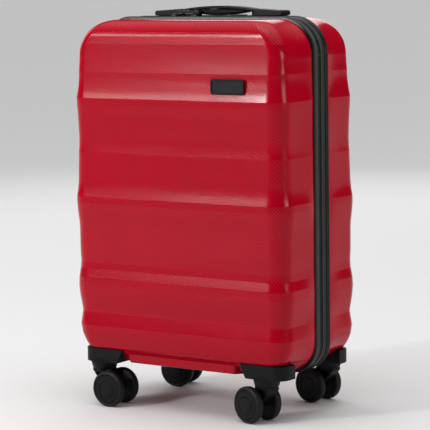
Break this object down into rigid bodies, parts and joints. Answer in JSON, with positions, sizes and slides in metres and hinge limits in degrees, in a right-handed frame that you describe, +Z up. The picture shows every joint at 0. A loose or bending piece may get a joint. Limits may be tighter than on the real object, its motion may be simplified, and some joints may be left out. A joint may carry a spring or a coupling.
{
  "type": "hard shell suitcase on wheels",
  "caption": "Hard shell cabin suitcase with ribbed red shells, a black zip seam, top carry handle, telescopic trolley handle and twin-wheel casters.",
  "frame": {"origin": "on the floor under the middle of the case", "axes": "+Z up, +X to the right seen from the front, the front shell faces -Y, the seam lies in the plane Y = 0"},
  "size_m": [0.352, 0.2125, 0.554],
  "materials": {
    "shell_red": "glossy ABS with a fine embossed dot pattern",
    "trim_black": "satin moulded plastic",
    "rim_rubber": "satin rubber piping",
    "zip_tape": "woven tape with coil teeth",
    "lining_cloth": "thin woven polyester",
    "strap_webbing": "elastic webbing",
    "handle_rubber": "soft matt rubber",
    "tube_aluminium": "drawn and anodised",
    "zip_metal": "dark nickel plating",
    "badge_plate": "dark plate with no lettering",
    "accent_grey": "satin grey plastic",
    "axle_steel": "plain steel",
    "wheel_black": "matt polyurethane"
  },
  "bodies": {
    "root": {"back_shell": "shell_red", "back_rim_piping": "rim_rubber", "back_zip_tape": "zip_tape", "back_lining": "lining_cloth", "packing_strap_upper": "strap_webbing", "packing_strap_lower": "strap_webbing", "strap_buckle": "trim_black", "trolley_bezel": "trim_black", "trolley_outer_tube_left": "tube_aluminium", "trolley_outer_tube_right": "tube_aluminium", "tube_foot_bracket": "trim_black", "carry_handle_mount_left": "trim_black", "carry_handle_mount_right": "trim_black", "lock_body": "trim_black", "caster_housing_rear_left": "trim_black", "caster_housing_rear_right": "trim_black"},
    "front_half": {"front_shell": "shell_red", "front_rim_piping": "rim_rubber", "front_zip_tape": "zip_tape", "front_lining": "lining_cloth", "badge_frame": "trim_black", "badge_plate": "badge_plate", "caster_housing_front_left": "trim_black", "caster_housing_front_right": "trim_black"},
    "carry_handle": {"carry_handle_bow": "handle_rubber", "carry_handle_grip": "handle_rubber"},
    "trolley_stage": {"trolley_middle_tube_left": "tube_aluminium", "trolley_middle_tube_right": "tube_aluminium"},
    "trolley_handle": {"trolley_inner_tube_left": "tube_aluminium", "trolley_inner_tube_right": "tube_aluminium", "trolley_grip": "trim_black"},
    "trolley_button": {"trolley_button": "accent_grey"},
    "lock_dial_1": {"lock_dial_1": "accent_grey"},
    "lock_dial_2": {"lock_dial_2": "accent_grey"},
    "lock_dial_3": {"lock_dial_3": "accent_grey"},
    "lock_release": {"lock_release": "accent_grey"},
    "zip_slider_left": {"zip_slider_left": "zip_metal"},
    "zip_slider_right": {"zip_slider_right": "zip_metal"},
    "zip_pull_left": {"zip_pull_left": "zip_metal"},
    "zip_pull_right": {"zip_pull_right": "zip_metal"},
    "caster_front_right": {"caster_fork_front_right": "trim_black", "caster_axle_front_right": "axle_steel"},
    "wheel_front_right_a": {"wheel_front_right_a": "wheel_black"},
    "wheel_front_right_b": {"wheel_front_right_b": "wheel_black"},
    "caster_rear_right": {"caster_fork_rear_right": "trim_black", "caster_axle_rear_right": "axle_steel"},
    "wheel_rear_right_a": {"wheel_rear_right_a": "wheel_black"},
    "wheel_rear_right_b": {"wheel_rear_right_b": "wheel_black"},
    "caster_front_left": {"caster_fork_front_left": "trim_black", "caster_axle_front_left": "axle_steel"},
    "wheel_front_left_a": {"wheel_front_left_a": "wheel_black"},
    "wheel_front_left_b": {"wheel_front_left_b": "wheel_black"},
    "caster_rear_left": {"caster_fork_rear_left": "trim_black", "caster_axle_rear_left": "axle_steel"},
    "wheel_rear_left_a": {"wheel_rear_left_a": "wheel_black"},
    "wheel_rear_left_b": {"wheel_rear_left_b": "wheel_black"}
  },
  "joints": [
    {"name": "lid_hinge", "type": "hinge", "parent": "root", "child": "front_half", "pos_m": [-0.177, 0, 0.2995], "axis": [0, 0, -1], "range_deg": [0, 165]},
    {"name": "carry_handle_lift", "type": "slide", "parent": "root", "child": "carry_handle", "axis": [0, 0, 1], "range_m": [0, 0.018]},
    {"name": "trolley_stage_slide", "type": "slide", "parent": "root", "child": "trolley_stage", "axis": [0, 0, 1], "range_m": [0, 0.225]},
    {"name": "trolley_handle_slide", "type": "slide", "parent": "trolley_stage", "child": "trolley_handle", "axis": [0, 0, 1], "range_m": [0, 0.225]},
    {"name": "trolley_button_press", "type": "slide", "parent": "trolley_handle", "child": "trolley_button", "axis": [0, 0, -1], "range_m": [0, 0.0025], "stiffness_N_per_m": 300},
    {"name": "lock_release_slide", "type": "slide", "parent": "root", "child": "lock_release", "axis": [-1, 0, 0], "range_m": [0, 0.0025], "stiffness_N_per_m": 100},
    {"name": "zip_slider_left_run", "type": "slide", "parent": "root", "child": "zip_slider_left", "axis": [-1, 0, 0], "range_m": [0, 0.045]},
    {"name": "zip_slider_right_run", "type": "slide", "parent": "root", "child": "zip_slider_right", "axis": [1, 0, 0], "range_m": [0, 0.145]},
    {"name": "lock_dial_1_turn", "type": "hinge", "parent": "root", "child": "lock_dial_1", "pos_m": [-0.058, 0.00945, 0.5452], "axis": [1, 0, 0], "continuous": true},
    {"name": "lock_dial_2_turn", "type": "hinge", "parent": "root", "child": "lock_dial_2", "pos_m": [-0.0515, 0.00945, 0.5452], "axis": [1, 0, 0], "continuous": true},
    {"name": "lock_dial_3_turn", "type": "hinge", "parent": "root", "child": "lock_dial_3", "pos_m": [-0.045, 0.00945, 0.5452], "axis": [1, 0, 0], "continuous": true},
    {"name": "zip_pull_left_flip", "type": "hinge", "parent": "zip_slider_left", "child": "zip_pull_left", "pos_m": [-0.062, 0, 0.5436], "axis": [0, -1, 0], "range_deg": [0, 170]},
    {"name": "zip_pull_right_flip", "type": "hinge", "parent": "zip_slider_right", "child": "zip_pull_right", "pos_m": [-0.028, 0, 0.5436], "axis": [0, 1, 0], "range_deg": [0, 170]},
    {"name": "caster_front_right_swivel", "type": "hinge", "parent": "front_half", "child": "caster_front_right", "pos_m": [0.135, -0.08, 0.05], "axis": [0, 0, 1], "continuous": true},
    {"name": "wheel_front_right_a_roll", "type": "hinge", "parent": "caster_front_right", "child": "wheel_front_right_a", "pos_m": [0.11231, -0.09117, 0.025], "axis": [-0.2605, -0.9655, 0], "continuous": true},
    {"name": "wheel_front_right_b_roll", "type": "hinge", "parent": "caster_front_right", "child": "wheel_front_right_b", "pos_m": [0.12101, -0.05893, 0.025], "axis": [-0.2605, -0.9655, 0], "continuous": true},
    {"name": "caster_rear_right_swivel", "type": "hinge", "parent": "root", "child": "caster_rear_right", "pos_m": [0.135, 0.08, 0.05], "axis": [0, 0, 1], "continuous": true},
    {"name": "wheel_rear_right_a_roll", "type": "hinge", "parent": "caster_rear_right", "child": "wheel_rear_right_a", "pos_m": [0.11328, 0.06704, 0.025], "axis": [-0.1822, -0.9833, 0], "continuous": true},
    {"name": "wheel_rear_right_b_roll", "type": "hinge", "parent": "caster_rear_right", "child": "wheel_rear_right_b", "pos_m": [0.11936, 0.09988, 0.025], "axis": [-0.1822, -0.9833, 0], "continuous": true},
    {"name": "caster_front_left_swivel", "type": "hinge", "parent": "front_half", "child": "caster_front_left", "pos_m": [-0.135, -0.08, 0.05], "axis": [0, 0, 1], "continuous": true},
    {"name": "wheel_front_left_a_roll", "type": "hinge", "parent": "caster_front_left", "child": "wheel_front_left_a", "pos_m": [-0.11585, -0.06347, 0.025], "axis": [0.0087, 1, 0], "continuous": true},
    {"name": "wheel_front_left_b_roll", "type": "hinge", "parent": "caster_front_left", "child": "wheel_front_left_b", "pos_m": [-0.11615, -0.09687, 0.025], "axis": [0.0087, 1, 0], "continuous": true},
    {"name": "caster_rear_left_swivel", "type": "hinge", "parent": "root", "child": "caster_rear_left", "pos_m": [-0.135, 0.08, 0.05], "axis": [0, 0, 1], "continuous": true},
    {"name": "wheel_rear_left_a_roll", "type": "hinge", "parent": "caster_rear_left", "child": "wheel_rear_left_a", "pos_m": [-0.11919, 0.09975, 0.025], "axis": [-0.1736, 0.9848, 0], "continuous": true},
    {"name": "wheel_rear_left_b_roll", "type": "hinge", "parent": "caster_rear_left", "child": "wheel_rear_left_b", "pos_m": [-0.11339, 0.06685, 0.025], "axis": [-0.1736, 0.9848, 0], "continuous": true}
  ]
}
